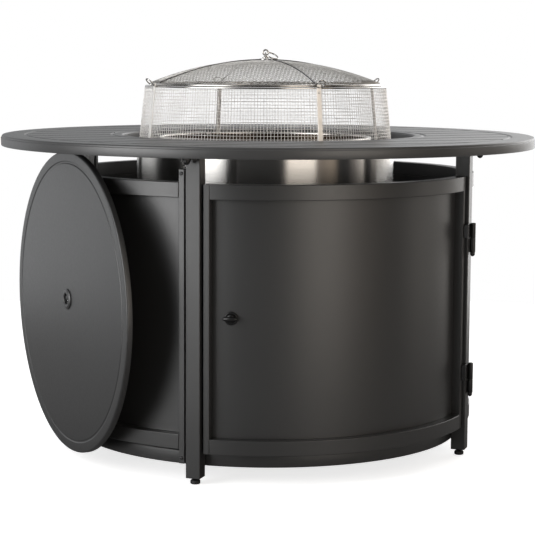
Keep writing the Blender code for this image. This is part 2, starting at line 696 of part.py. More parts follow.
def make_eye():
    """A post on the hub with an eye on top, whose hole faces the way the loose ring turns."""
    foot = DOME_APEX + 0.0034
    eye = bmesh.new()
    bmesh_lathe(eye, hoop_profile(EYE_RADIUS, EYE_WIRE, 0, 6), 16)
    eye.transform(Matrix.Rotation(radians(90), 4, "X"))
    eye.transform(Matrix.Translation((0, 0, EYE_HEIGHT)))
    eye.transform(Matrix.Rotation(radians(RING_AZIMUTH - 90), 4, "Z"))
    obj = new_object("finial_eye", eye, "screen_steel")
    stalk = lathe("finial_stalk", [(0, foot), (0.007, foot), (0.007, foot + 0.0018), (0.003, foot + 0.003),
                                   (0.0027, EYE_HEIGHT - EYE_RADIUS), (0, EYE_HEIGHT - EYE_RADIUS)],
                  "screen_steel", 12)
    return combine(obj, stalk, "UNION")


def make_loose_ring():
    """The lifting ring, which hangs through the eye and has fallen to one side."""
    bm = bmesh.new()
    bmesh_lathe(bm, hoop_profile(RING_RADIUS, RING_WIRE, 0, 6), 24)
    bm.transform(Matrix.Translation((0, -RING_RADIUS, 0)))
    bm.transform(Matrix.Rotation(radians(RING_ROLL_DEG), 4, "Y"))
    bm.transform(Matrix.Rotation(radians(RING_DROP_DEG), 4, "X"))
    bm.transform(Matrix.Rotation(radians(RING_AZIMUTH), 4, "Z"))
    bore = EYE_RADIUS - EYE_WIRE
    bm.transform(Matrix.Translation((0, 0, EYE_HEIGHT - bore + RING_WIRE + 0.0011)))
    return new_object("finial_ring", bm, "screen_steel")


# ---------------------------------------------------------------- lid stored on the left side
def make_lid():
    """The lid is a shallow pan that faces -X; profile heights are depths in from its face."""
    rim = LID_RADIUS
    groove = rim - 0.0220
    to_side = (Matrix.Translation((LID_FACE_X, 0, LID_HEIGHT)) @ Matrix.Rotation(radians(LID_YAW_DEG), 4, "Z")
               @ Matrix.Rotation(radians(90), 4, "Y"))
    to_hole = to_side @ Matrix.Translation((-LID_HOLE_Z, LID_HOLE_Y, 0))

    def on_side(name, profile, finish, sides, matrix=to_side):
        bm = bmesh.new()
        bmesh_lathe(bm, profile, sides)
        bm.transform(matrix)
        return new_object(name, bm, finish)

    lid = on_side("lid_plate", [
        (0, 0), (groove - 0.0015, 0), (groove, 0.0009), (groove + 0.0015, 0), (rim - 0.0015, 0),
        (rim, 0.0015), (rim, LID_THICKNESS), (rim - SHEET, LID_THICKNESS), (rim - SHEET, 0.0030),
        (0, 0.0030)], "charcoal", ROUND)
    hole = on_side("lid_hole", [(0, -0.01), (LID_HOLE, -0.01), (LID_HOLE, 0.02), (0, 0.02)], "charcoal", 24,
                   to_hole)
    combine(lid, hole, "DIFFERENCE")
    grommet = on_side("lid_grommet", [
        (0.0105, -GAP), (0.0105, -0.0030), (0.0125, -0.0042), (0.0175, -0.0042), (0.0205, -0.0020),
        (0.0205, -GAP)], "charcoal", 24, to_hole)
    peg_height = LID_HEIGHT + LID_HOLE_Z + LID_HOLE - PEG_RADIUS - GAP
    panel_face = SIDE_RADIUS - PANEL_SETBACK + GAP
    peg_matrix = Matrix.Translation((0, LID_HOLE_Y, peg_height)) @ Matrix.Rotation(radians(-90), 4, "Y")
    on_side("lid_peg", [
        (0, panel_face), (0.016, panel_face), (0.016, panel_face + 0.003), (PEG_RADIUS, panel_face + 0.003),
        (PEG_RADIUS, 0.4370), (PEG_RADIUS - 0.001, 0.4380), (0, 0.4380)], "black", 16, peg_matrix)
    hang_on("lid_slide", (LID_FACE_X, 0, LID_HEIGHT), lid, grommet)


clear_scene()
make_top()
make_posts()
make_base()
make_sides()
make_door()
make_drum()
make_bowl()
make_ash_drawer()
make_screen()
make_dome()
make_lid()
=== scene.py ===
"""Looks of a round fire pit table with a curved cabinet, a spark screen and a lid stored on its side.

Metres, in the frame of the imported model: +Z up, the door faces -Y. An azimuth is measured in degrees from -Y
towards +X.
"""

import json
from math import cos, hypot, pi, radians, sin, sqrt

import bmesh
import bpy
from mathutils import Matrix, Vector


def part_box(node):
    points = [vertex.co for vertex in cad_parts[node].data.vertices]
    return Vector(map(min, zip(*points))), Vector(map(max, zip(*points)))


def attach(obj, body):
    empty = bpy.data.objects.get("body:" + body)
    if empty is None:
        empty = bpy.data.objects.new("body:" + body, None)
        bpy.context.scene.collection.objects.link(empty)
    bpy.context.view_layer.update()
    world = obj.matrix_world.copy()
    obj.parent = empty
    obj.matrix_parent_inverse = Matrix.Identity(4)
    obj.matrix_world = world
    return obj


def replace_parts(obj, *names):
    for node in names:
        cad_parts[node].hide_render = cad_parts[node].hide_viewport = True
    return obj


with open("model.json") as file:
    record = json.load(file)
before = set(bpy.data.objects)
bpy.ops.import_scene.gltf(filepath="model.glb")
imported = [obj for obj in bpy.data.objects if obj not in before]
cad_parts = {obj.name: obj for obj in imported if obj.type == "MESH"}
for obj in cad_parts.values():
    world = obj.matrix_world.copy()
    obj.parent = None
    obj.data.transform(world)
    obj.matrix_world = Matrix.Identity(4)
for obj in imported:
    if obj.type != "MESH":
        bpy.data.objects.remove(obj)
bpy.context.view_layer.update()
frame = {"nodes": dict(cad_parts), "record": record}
record = frame["record"]
BODY_OF = {node: body for body, nodes in record["behaviour"]["bodies"].items() for node in nodes}

POST_AZIMUTHS = {"fl": -45, "fr": 45, "br": 135, "bl": -135}
SIDE_AZIMUTHS = {"left": -90, "back": 180, "right": 90}
STRIP_AZIMUTHS = {"front": -1.75, "right": 89.9, "back": 177.7, "left": -88.5}
FIRE_CENTRE = Vector((-0.0054, 0.0026, 0))  # the drum and what it carries sit a little off the table's centre
FIRE_BODIES = ("bowl", "grate", "screen", "dome", "lifting_ring")


# ---- mesh tools
def rotation(degrees, axis):
    return Matrix.Rotation(radians(degrees), 4, axis)


def linked(name, data):
    obj = bpy.data.objects.new(name, data)
    bpy.context.scene.collection.objects.link(obj)
    return obj


def shade(mesh, sharp):
    """Smooth, but for the edges that turn by more than so many degrees."""
    mesh.shade_smooth()
    mesh.set_sharp_from_angle(angle=radians(sharp))


def object_from(name, bm, sharp=35):
    bmesh.ops.recalc_face_normals(bm, faces=bm.faces)
    mesh = bpy.data.meshes.new(name)
    bm.to_mesh(mesh)
    bm.free()
    shade(mesh, sharp)
    return linked(name, mesh)


def apply_modifiers(obj):
    graph = bpy.context.evaluated_depsgraph_get()
    mesh = bpy.data.meshes.new_from_object(obj.evaluated_get(graph))
    obj.modifiers.clear()
    obj.data = mesh
    return obj


def bevel(obj, width, segments=2, angle=40):
    """Rounds the sharp edges and leaves the shading smooth across them."""
    modifier = obj.modifiers.new("Rounding", "BEVEL")
    modifier.width = width
    modifier.segments = segments
    modifier.limit_method = "ANGLE"
    modifier.angle_limit = radians(angle)
    modifier.harden_normals = True
    obj.data.shade_smooth()
    return apply_modifiers(obj)


def cut(obj, cutter):
    """Takes the cutter's shape out of a piece; the cutter itself goes."""
    modifier = obj.modifiers.new("Difference", "BOOLEAN")
    modifier.operation = "DIFFERENCE"
    modifier.object = cutter
    modifier.solver = "EXACT"
    apply_modifiers(obj)
    bpy.data.objects.remove(cutter)


def fillet(outline, radius, steps):
    """Rounds every corner of a closed (r, z) outline that isn't on the axis, as far as its edges allow."""
    rounded = []
    count = len(outline)
    for i in range(count):
        before, here, after = Vector(outline[i - 1]), Vector(outline[i]), Vector(outline[(i + 1) % count])
        to_before, to_after = before - here, after - here
        if here.x < 1e-9 or to_before.angle(to_after) > radians(172):
            rounded.append(tuple(here))
            continue
        reach = min(radius, to_before.length * 0.45, to_after.length * 0.45)
        start = here + to_before.normalized() * reach
        end = here + to_after.normalized() * reach
        for j in range(steps + 1):
            t = j / steps
            point = start * (1 - t) ** 2 + here * 2 * t * (1 - t) + end * t * t
            rounded.append((point.x, point.y))
    return rounded


def band(outer, inner, low, high):
    """The (r, z) outline of a plain ring, or of a disc when it reaches the axis."""
    return [(outer, low), (outer, high), (inner, high), (inner, low)]


def bmesh_lathe(bm, profile, sides):
    """Turns a closed (r, z) profile round the Z axis."""
    rings = []
    for i in range(sides):
        angle = 2 * pi * i / sides
        rings.append([bm.verts.new((r * sin(angle), -r * cos(angle), z)) for r, z in profile])
    for i in range(sides):
        here, there = rings[i], rings[(i + 1) % sides]
        for j in range(len(profile)):
            k = (j + 1) % len(profile)
            on_axis = (profile[j][0] < 1e-9, profile[k][0] < 1e-9)
            if on_axis == (True, True):
                continue
            corners = [here[j], here[k], there[k], there[j]]
            if on_axis[0]:
                corners = [here[j], here[k], there[k]]
            elif on_axis[1]:
                corners = [here[j], here[k], there[j]]
            bm.faces.new(corners)
    bmesh.ops.remove_doubles(bm, verts=bm.verts, dist=1e-7)


def lathe(name, outline, sides, radius, steps=3, matrix=None, sharp=50):
    """A turned piece whose corners are rounded."""
    bm = bmesh.new()
    bmesh_lathe(bm, fillet(outline, radius, steps), sides)
    if matrix:
        bm.transform(matrix)
    return object_from(name, bm, sharp)


def torus(name, radius, wire, height, sides, around=12, matrix=None):
    """A ring of round wire."""
    bm = bmesh.new()
    outline = [(radius + wire * cos(2 * pi * i / around), height + wire * sin(2 * pi * i / around))
               for i in range(around)]
    bmesh_lathe(bm, outline, sides)
    if matrix:
        bm.transform(matrix)
    return object_from(name, bm, 80)


def straight(x, y, z):
    return Vector((x, y, z))


def polar(azimuth, radius, z):
    return Vector((radius * sin(radians(azimuth)), -radius * cos(radians(azimuth)), z))


def every_cell(i, j, k):
    return True


def cells(name, us, vs, ws, place=straight, filled=every_cell):
    """The skin of the filled cells of a grid."""
    bm = bmesh.new()
    corners = {}

    def corner(i, j, k):
        if (i, j, k) not in corners:
            corners[i, j, k] = bm.verts.new(place(us[i], vs[j], ws[k]))
        return corners[i, j, k]

    def solid(i, j, k):
        inside = 0 <= i < len(us) - 1 and 0 <= j < len(vs) - 1 and 0 <= k < len(ws) - 1
        return inside and filled(i, j, k)

    for i in range(len(us) - 1):
        for j in range(len(vs) - 1):
            for k in range(len(ws) - 1):
                if not solid(i, j, k):
                    continue
                for step in (0, 1):
                    if not solid(i - 1 + 2 * step, j, k):
                        a = i + step
                        bm.faces.new([corner(a, j, k), corner(a, j + 1, k),
                                      corner(a, j + 1, k + 1), corner(a, j, k + 1)])
                    if not solid(i, j - 1 + 2 * step, k):
                        b = j + step
                        bm.faces.new([corner(i, b, k), corner(i + 1, b, k),
                                      corner(i + 1, b, k + 1), corner(i, b, k + 1)])
                    if not solid(i, j, k - 1 + 2 * step):
                        c = k + step
                        bm.faces.new([corner(i, j, c), corner(i + 1, j, c),
                                      corner(i + 1, j + 1, c), corner(i, j + 1, c)])
    return object_from(name, bm)


def block(name, low, high, width, segments):
    """A box with rounded edges."""
    return bevel(cells(name, *zip(low, high)), width, segments)


def turn(obj, azimuth):
    """Turns a piece that was made at the door's middle to an azimuth."""
    obj.data.transform(rotation(azimuth, "Z"))
    return obj


def join(name, *objects):
    """One mesh from several objects that share a body and a finish."""
    bm = bmesh.new()
    for obj in objects:
        copy = obj.data.copy()
        copy.transform(obj.matrix_world)
        bm.from_mesh(copy)
        bpy.data.meshes.remove(copy)
        bpy.data.objects.remove(obj)
    mesh = bpy.data.meshes.new(name)
    bm.to_mesh(mesh)
    bm.free()
    return linked(name, mesh)


def spread(name, obj, matrices):
    """One mesh that holds a copy of obj at each matrix; obj itself goes."""
    copies = []
    for i, matrix in enumerate(matrices):
        mesh = obj.data.copy()
        mesh.transform(matrix)
        copies.append(linked(f"{name}_copy{i}", mesh))
    bpy.data.objects.remove(obj)
    return join(name, *copies)


def tubes(name, paths, radius, sides, closed=False):
    """Round wires along lists of points, in one mesh."""
    verts, faces = [], []
    for path in paths:
        base = len(verts)
        count = len(path)
        for i, point in enumerate(path):
            if closed:
                ahead, behind = path[(i + 1) % count], path[i - 1]
            else:
                ahead, behind = path[min(i + 1, count - 1)], path[max(i - 1, 0)]
            along = (ahead - behind).normalized()
            side = along.cross(Vector((0, 0, 1)))
            if side.length < 0.2:
                side = along.cross(Vector((point.y, -point.x, 0)).normalized())
            side.normalize()
            up = side.cross(along)
            for j in range(sides):
                angle = 2 * pi * j / sides
                verts.append(point + side * radius * cos(angle) + up * radius * sin(angle))
        spans = count if closed else count - 1
        for i in range(spans):
            for j in range(sides):
                a, b = base + i * sides, base + (i + 1) % count * sides
                k = (j + 1) % sides
                faces.append((a + j, a + k, b + k, b + j))
        if not closed:
            faces.append(tuple(base + j for j in reversed(range(sides))))
            faces.append(tuple(base + (count - 1) * sides + j for j in range(sides)))
    mesh = bpy.data.meshes.new(name)
    mesh.from_pydata([tuple(v) for v in verts], [], faces)
    mesh.shade_smooth()
    return linked(name, mesh)


# ---- materials
def shader_of(name):
    """A new material, its nodes, its links and its shader."""
    made = bpy.data.materials.new(name)
    made.use_nodes = True
    return made, made.node_tree.nodes, made.node_tree.links, made.node_tree.nodes["Principled BSDF"]


def noise_at(nodes, links, scale, detail, stretch=(1, 1, 1)):
    coordinates = nodes.new("ShaderNodeTexCoord")
    mapping = nodes.new("ShaderNodeMapping")
    mapping.inputs["Scale"].default_value = stretch
    links.new(coordinates.outputs["Object"], mapping.inputs["Vector"])
    noise = nodes.new("ShaderNodeTexNoise")
    noise.inputs["Scale"].default_value = scale
    noise.inputs["Detail"].default_value = detail
    links.new(mapping.outputs["Vector"], noise.inputs["Vector"])
    return noise.outputs["Fac"]


NOISE_LOW, NOISE_HIGH = 0.3, 0.7  # the range that most of a noise falls in


def spread_value(nodes, links, value, low, high):
    """Spreads a noise over the values from low to high."""
    ranged = nodes.new("ShaderNodeMapRange")
    ranged.inputs["From Min"].default_value = NOISE_LOW
    ranged.inputs["From Max"].default_value = NOISE_HIGH
    ranged.inputs["To Min"].default_value = low
    ranged.inputs["To Max"].default_value = high
    links.new(value, ranged.inputs["Value"])
    return ranged.outputs["Result"]


def tint(nodes, links, value, dark, light):
    """Spreads a noise over the colours from dark to light."""
    ramp = nodes.new("ShaderNodeValToRGB")
    ramp.color_ramp.elements[0].position = NOISE_LOW
    ramp.color_ramp.elements[0].color = (*dark, 1)
    ramp.color_ramp.elements[1].position = NOISE_HIGH
    ramp.color_ramp.elements[1].color = (*light, 1)
    links.new(value, ramp.inputs["Fac"])
    return ramp.outputs["Color"]


def bump(nodes, links, shader, value, strength, distance):
    node = nodes.new("ShaderNodeBump")
    node.inputs["Strength"].default_value = strength
    node.inputs["Distance"].default_value = distance
    links.new(value, node.inputs["Height"])
    links.new(node.outputs["Normal"], shader.inputs["Normal"])


def scaled(colour, factor):
    return tuple(channel * factor for channel in colour)


def powder_coat(name, colour, roughness=(0.35, 0.39), grain=0.2, ior=1.7):
    """Baked powder: a fine orange peel, with faint clouds in its colour and its gloss."""
    made, nodes, links, shader = shader_of(name)
    clouds = noise_at(nodes, links, 7, 3)
    links.new(tint(nodes, links, clouds, scaled(colour, 0.96), scaled(colour, 1.04)),
              shader.inputs["Base Color"])
    links.new(spread_value(nodes, links, noise_at(nodes, links, 160, 2), *roughness),
              shader.inputs["Roughness"])
    shader.inputs["Metallic"].default_value = 0.0
    shader.inputs["IOR"].default_value = ior
    bump(nodes, links, shader, noise_at(nodes, links, 1100, 3), grain, 0.0004)
    return made


def steel(name, dark, light, roughness, stretch=(1, 1, 1), scale=60, strength=0.15, grain_scale=400):
    """Bare metal with brush marks along the direction in which the noise is stretched."""
    made, nodes, links, shader = shader_of(name)
    links.new(tint(nodes, links, noise_at(nodes, links, scale, 4, stretch), dark, light),
              shader.inputs["Base Color"])
    links.new(spread_value(nodes, links, noise_at(nodes, links, scale * 1.7, 4, stretch), *roughness),
              shader.inputs["Roughness"])
    shader.inputs["Metallic"].default_value = 1.0
    bump(nodes, links, shader, noise_at(nodes, links, grain_scale, 2, stretch), strength, 0.0002)
    return made


def brushed_round(material, amount):
    """Stretches the highlights of a turned piece along its axis, as brushing round it does."""
    nodes, links = material.node_tree.nodes, material.node_tree.links
    tangent = nodes.new("ShaderNodeTangent")
    tangent.direction_type = "RADIAL"
    tangent.axis = "Z"
    shader = nodes["Principled BSDF"]
    shader.inputs["Anisotropic"].default_value = amount
    shader.inputs["Anisotropic Rotation"].default_value = 0.25
    links.new(tangent.outputs["Tangent"], shader.inputs["Tangent"])
    return material


def rough_iron(name, colour):
    """Cast iron: coarse, blotched and dull."""
    made, nodes, links, shader = shader_of(name)
    links.new(tint(nodes, links, noise_at(nodes, links, 90, 4), scaled(colour, 0.6), scaled(colour, 1.5)),
              shader.inputs["Base Color"])
    links.new(spread_value(nodes, links, noise_at(nodes, links, 60, 3), 0.65, 0.9),
              shader.inputs["Roughness"])
    bump(nodes, links, shader, noise_at(nodes, links, 500, 4), 0.6, 0.0006)
    return made


def moulded(name, colour):
    """Moulded rubber: even and dull."""
    made, nodes, links, shader = shader_of(name)
    links.new(tint(nodes, links, noise_at(nodes, links, 50, 2), scaled(colour, 0.85), scaled(colour, 1.15)),
              shader.inputs["Base Color"])
    links.new(spread_value(nodes, links, noise_at(nodes, links, 120, 2), 0.55, 0.7),
              shader.inputs["Roughness"])
    bump(nodes, links, shader, noise_at(nodes, links, 900, 2), 0.2, 0.0003)
    return made


CHARCOAL = powder_coat("charcoal_coat", (0.029, 0.0293, 0.0298))
# The same charcoal coat made lighter for the table top: painted light where the light falls on the top face.
LIT_TOP_CHARCOAL = powder_coat("charcoal_coat_painted_top_light", (0.040, 0.0403, 0.041), (0.36, 0.40))
# The same charcoal coat made darker and duller for the cabinet's floor: painted shade inside the cabinet.
SHADED_INNER_CHARCOAL = powder_coat("charcoal_coat_painted_inner_shade", (0.020, 0.020, 0.0205), (0.5, 0.54))
BLACK = powder_coat("black_coat", (0.007, 0.007, 0.0073), (0.30, 0.36), 0.15, 1.5)
RUBBER = moulded("foot_rubber", (0.014, 0.014, 0.015))
DRUM_STEEL = brushed_round(steel("drum_steel", (0.84, 0.82, 0.79), (0.90, 0.88, 0.85), (0.23, 0.25),
                                 stretch=(1, 1, 12), scale=3, strength=0.0, grain_scale=12), 1.0)
SCREEN_STEEL = steel("screen_steel", (0.50, 0.485, 0.465), (0.60, 0.585, 0.56), (0.12, 0.20),
                     scale=90, strength=0.06)
MESH_STEEL = steel("mesh_steel", (0.86, 0.84, 0.82), (0.95, 0.93, 0.91), (0.40, 0.55),
                   scale=140, strength=0.1)
STRIP_STEEL = steel("strip_steel", (0.80, 0.78, 0.75), (0.88, 0.86, 0.83), (0.32, 0.42),
                    scale=90, strength=0.06)
DOME_STEEL = steel("dome_mesh_steel", (0.50, 0.485, 0.465), (0.64, 0.625, 0.60), (0.35, 0.5),
                   scale=140, strength=0.1)
RIB_STEEL = steel("rib_steel", (0.10, 0.098, 0.095), (0.16, 0.156, 0.15), (0.3, 0.45),
                  scale=90, strength=0.1)
# The bowl's steel is darkened to near black with a brown tint: painted shade inside the bowl and a painted
# brown reflection.
SHADED_BOWL_STEEL = steel("bowl_steel", (0.030, 0.022, 0.016), (0.085, 0.064, 0.048), (0.38, 0.55),
                   stretch=(1, 1, 2.5), scale=14, strength=0.2, grain_scale=160)
BOWL_RIM_STEEL = steel("bowl_rim_steel", (0.60, 0.57, 0.53), (0.74, 0.71, 0.67), (0.2, 0.3),
                       scale=40, strength=0.1)
BOLT_STEEL = steel("bolt_steel", (0.05, 0.05, 0.052), (0.09, 0.09, 0.092), (0.3, 0.45),
                   scale=200, strength=0.1)
IRON = rough_iron("grate_iron", (0.022, 0.021, 0.020))


# ---- pieces on the frame
GAP = 0.0004  # between pieces that touch on the real object


def add(piece, finish, like):
    """Adds a piece with its finish on the body of the CAD node that it is fixed to."""
    if BODY_OF[like] in FIRE_BODIES or like in ("drum", "bowl_stand"):
        piece.data.transform(Matrix.Translation(FIRE_CENTRE))
    piece.data.materials.clear()
    piece.data.materials.append(finish)
    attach(piece, BODY_OF[like])
    return piece


def dress(piece, finish, *nodes):
    """Puts a piece in the place of CAD nodes."""
    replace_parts(add(piece, finish, nodes[0]), *nodes)
    return piece


def outer_radius(node):
    low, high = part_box(node)
    return (high.x - low.x) / 2


# ---- table top
TOP_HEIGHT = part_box("table_top")[1].z
TOP_RADIUS = outer_radius("table_top")
TOP_SHEET = 0.0035
OPENING = 0.2985
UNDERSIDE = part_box("table_top")[0].z
INNER_RING, OUTER_RING = 0.320, 0.494  # the circles that the plank grooves run between
PLANK = 0.090


def groove_cutter(x0, x1, y):
    """A long bar with round ends and sloping sides, which presses one groove."""
    width, depth = 0.0085, 0.0021
    bm = bmesh.new()
    rows = []
    for half, z in ((width / 2 + 0.0012, TOP_HEIGHT + 0.0006), (width / 2, TOP_HEIGHT - 0.0003),
                    (width * 0.36, TOP_HEIGHT - depth * 0.8), (width * 0.22, TOP_HEIGHT - depth)):
        row = []
        for centre, start in ((x1 - width / 2, -pi / 2), (x0 + width / 2, pi / 2)):
            for i in range(9):
                angle = start + pi * i / 8
                row.append(bm.verts.new((centre + half * cos(angle), y + half * sin(angle), z)))
        rows.append(row)
    count = len(rows[0])
    for low, high in zip(rows[1:], rows):
        for i in range(count):
            j = (i + 1) % count
            bm.faces.new([low[i], low[j], high[j], high[i]])
    bm.faces.new(rows[0])
    bm.faces.new(list(reversed(rows[-1])))
    return object_from("groove", bm)


def ring_cutter(radius):
    """A ring that presses a circle that the plank grooves run up to."""
    half, depth = 0.0034, 0.0017
    bm = bmesh.new()
    above, floor = TOP_HEIGHT + 0.0006, TOP_HEIGHT - depth
    bmesh_lathe(bm, [(radius - half - 0.0012, above), (radius - half * 0.4, floor),
                     (radius + half * 0.4, floor), (radius + half + 0.0012, above)], 256)
    return object_from("ring_groove", bm)


def make_top():
    top, below = TOP_HEIGHT, TOP_HEIGHT - TOP_SHEET
    outline = [
        (TOP_RADIUS - 0.0008, UNDERSIDE), (TOP_RADIUS, top - 0.0052), (TOP_RADIUS - 0.0018, top - 0.0044),
        (TOP_RADIUS - 0.0018, top - 0.0028), (TOP_RADIUS - 0.0030, top - 0.0006), (TOP_RADIUS - 0.0050, top),
        (OPENING + 0.0040, top), (OPENING + 0.0012, top - 0.0008), (OPENING, below),
        (OPENING, UNDERSIDE), (OPENING + 0.0028, UNDERSIDE), (OPENING + 0.0028, below),
        (TOP_RADIUS - 0.0060, below), (TOP_RADIUS - 0.0030, UNDERSIDE),
    ]
    sheet = lathe("table_top_sheet", outline, 256, 0.0008, 2)
    cutters = []
    for row in range(-5, 6):
        y = row * PLANK
        reach = sqrt(OUTER_RING**2 - y * y)
        if abs(y) >= INNER_RING:
            cutters.append(groove_cutter(-reach, reach, y))
        else:
            start = sqrt(INNER_RING**2 - y * y)
            cutters.append(groove_cutter(start, reach, y))
            cutters.append(groove_cutter(-reach, -start, y))
    cut(sheet, join("grooves", *cutters))
    for radius in (INNER_RING, OUTER_RING):
        cut(sheet, ring_cutter(radius))
    shade(sheet.data, 35)
    # The top's coat is lighter than the rest of the charcoal: painted light.
    dress(sheet, LIT_TOP_CHARCOAL, "table_top")
    (_, _, low), (radius, _, high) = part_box("under_plate")
    inner = 0.3030
    plate = lathe("under_sheet", band(radius, inner, low, high), 192, 0.0004)
    dress(plate, CHARCOAL, "under_plate")


# ---- posts, feet, brackets
POST_HALF = 0.01425  # half the width of the square tube
POST_CENTRE = 0.41175  # from the table's middle to the tube's middle


def make_posts():
    (_, _, low), (_, _, high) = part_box("post_fl")
    for name, azimuth in POST_AZIMUTHS.items():
        post = block(f"post_tube_{name}", (-POST_HALF, -POST_CENTRE - POST_HALF, low),
                     (POST_HALF, -POST_CENTRE + POST_HALF, high), 0.0016, 4)
        dress(turn(post, azimuth), CHARCOAL, f"post_{name}")
        make_foot(name, azimuth)
        make_bracket(name, azimuth)


def make_foot(name, azimuth):
    """A levelling foot: a round pad that draws in to a threaded stem."""
    crest, root, pitch = 0.0040, 0.0034, 0.0009
    threads = []
    z = 0.0089
    while z < 0.0165:
        threads += [(crest, z), (root, z + 0.00045)]
        z += pitch
    outline = [(0, 0), (0.0080, 0), (0.0095, 0.0014), (0.0095, 0.0058), (0.0088, 0.0072), (0.0070, 0.0084),
               (0.0046, 0.0087)] + threads + [(0, z)]
    bm = bmesh.new()
    bmesh_lathe(bm, outline, 40)
    bm.transform(Matrix.Translation(polar(azimuth, POST_CENTRE, 0)))
    dress(object_from(f"foot_pad_{name}", bm, 40), RUBBER, f"foot_{name}")


def make_bracket(name, azimuth):
    """A tab under the rim with two domed nuts on washers, one large and one small."""
    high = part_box(f"top_bracket_{name}")[1].z
    low = high - 0.003
    tab = block("tab", (-0.016, -0.4560, low), (0.016, -0.4264, high), 0.0008, 2)
    parts = [tab]
    for x, y, radius, drop in ((-0.0045, -0.4440, 0.0080, 0.0150), (0.0080, -0.4380, 0.0045, 0.0110)):
        place = Matrix.Translation((x, y, low))
        washer = lathe("washer", band(radius * 1.12, 0, -0.0008, 0.0005), 32, 0.0003, 2, place)
        hexagon = lathe("hexagon", band(radius, 0, -drop * 0.45, 0), 6, 0.0005, 2, place, 30)
        dome = lathe("dome", [(0, -drop * 0.3), (radius * 0.82, -drop * 0.3), (radius * 0.8, -drop * 0.62),
                              (radius * 0.58, -drop * 0.86), (radius * 0.25, -drop * 0.98), (0, -drop)],
                     32, 0.0004, 2, place)
        parts += [washer, hexagon, dome]
    dress(turn(join(f"top_bracket_{name}_nuts", *parts), azimuth), BLACK, f"top_bracket_{name}")


# ---- base
def make_base():
    """The base hoop with its inner flange, and the cabinet's floor that lies on it."""
    (_, _, low), (radius, _, high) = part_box("base_ring")
    inner, flange, ledge = radius - 0.003, radius - 0.021, low + 0.018
    ring = lathe("base_hoop", [
        (radius, low), (radius, high), (inner, high), (inner, ledge + 0.003), (flange, ledge + 0.003),
        (flange, ledge), (inner, ledge), (inner, low)], 256, 0.0008)
    dress(ring, CHARCOAL, "base_ring")
    (_, _, low), (edge, _, high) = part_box("floor_shelf")
    floor = lathe("cabinet_floor", band(edge, 0, low, high), 192, 0.0004)
    # The cabinet's floor gets the darker charcoal: painted shade inside the cabinet.
    dress(floor, SHADED_INNER_CHARCOAL, "floor_shelf")


# ---- curved frames and panels
DOOR_RADIUS = 0.420
SIDE_RADIUS = 0.4215
HALF_PANEL = 42.5  # degrees, from a frame's middle to its edge
STILE = 1.62  # degrees
WINDOW = HALF_PANEL - STILE
RAIL = 0.0287
FRAME_DEPTH = 0.025
FRAME_EDGE = 0.0013  # how much the tubes' edges are rounded
SETBACK = 0.018
PANEL_SHEET = 0.002
DOOR_SPAN = (0.0590, 0.5645)
SIDE_SPAN, SIDE_STILE_SPAN = (0.0651, 0.5670), (0.0381, 0.5912)


def arc(half):
    """Azimuths about a degree apart, from -half to half."""
    count = int(2 * half)
    return [-half + 2 * half * i / count for i in range(count + 1)]


def frame_pieces(name, radius, span, stile_span):
    """The rails and stiles of a curved frame, drawn as separate tubes that meet at square joints."""
    bottom, top = span
    depths = (radius - FRAME_DEPTH, radius)
    tubing = []
    for low in (bottom, top - RAIL):
        tubing.append(bevel(cells("rail", arc(WINDOW - 0.01), depths, (low, low + RAIL), polar),
                            FRAME_EDGE, 3))
    for sign in (-1, 1):
        azimuths = sorted((sign * (WINDOW + 0.01), sign * HALF_PANEL))
        tubing.append(bevel(cells("stile", azimuths, depths, stile_span, polar), FRAME_EDGE, 3))
    lip = 0.005
    back = radius - SETBACK - PANEL_SHEET - GAP
    azimuths = arc(WINDOW - 0.01)
    heights = (bottom + RAIL, bottom + RAIL + lip, top - RAIL - lip, top - RAIL)
    last = len(azimuths) - 2
    tubing.append(cells("rebate", azimuths, (radius - FRAME_DEPTH, back), heights, polar,
                        lambda i, j, k: k != 1 or i in (0, last)))
    return join(name, *tubing)


def panel_piece(name, radius, span):
    back = radius - SETBACK - PANEL_SHEET
    return cells(name, arc(WINDOW - 0.06), (back, back + PANEL_SHEET),
                 (span[0] + RAIL + GAP, span[1] - RAIL - GAP), polar)


def make_sides():
    for name, azimuth in SIDE_AZIMUTHS.items():
        frame_piece = frame_pieces(f"side_frame_{name}", SIDE_RADIUS, SIDE_SPAN, SIDE_STILE_SPAN)
        dress(turn(frame_piece, azimuth), CHARCOAL, f"frame_{name}")
        panel = panel_piece(f"side_panel_{name}", SIDE_RADIUS, SIDE_SPAN)
        dress(turn(panel, azimuth), CHARCOAL, f"panel_{name}")
        make_side_screws(name, azimuth)


def make_side_screws(name, azimuth):
    """Pan heads that fix the frame's stile ends to the posts."""
    places = []
    for sign in (-1, 1):
        for z in (0.0490, 0.5830):
            at = polar(azimuth + sign * (WINDOW + 0.75), SIDE_RADIUS, z)
            places.append(Matrix.Translation(at) @ rotation(azimuth + sign * WINDOW, "Z"))
    head = lathe("head", [(0, -0.0005), (0.0036, -0.0005), (0.0036, 0.0010), (0.0028, 0.0019),
                          (0.0014, 0.0022), (0.0014, 0.0010), (0, 0.0010)], 28, 0.0003, 2, rotation(90, "X"))
    add(spread(f"side_screws_{name}", head, places), BOLT_STEEL, f"frame_{name}")


# ---- door, hinges, latch
HINGE_AZIMUTH = 44.6
HINGE_RADIUS = 0.4325  # from the table's middle to the pins' axis
HINGES = {"upper": (0.4126, 0.4417, 0.4711), "lower": (0.1291, 0.1562, 0.1895)}  # bottom, split, top
BARREL, BORE, PIN = 0.0055, 0.0038, 0.0034
LATCH_AZIMUTH = -35.7
LATCH_HEIGHT = 0.315


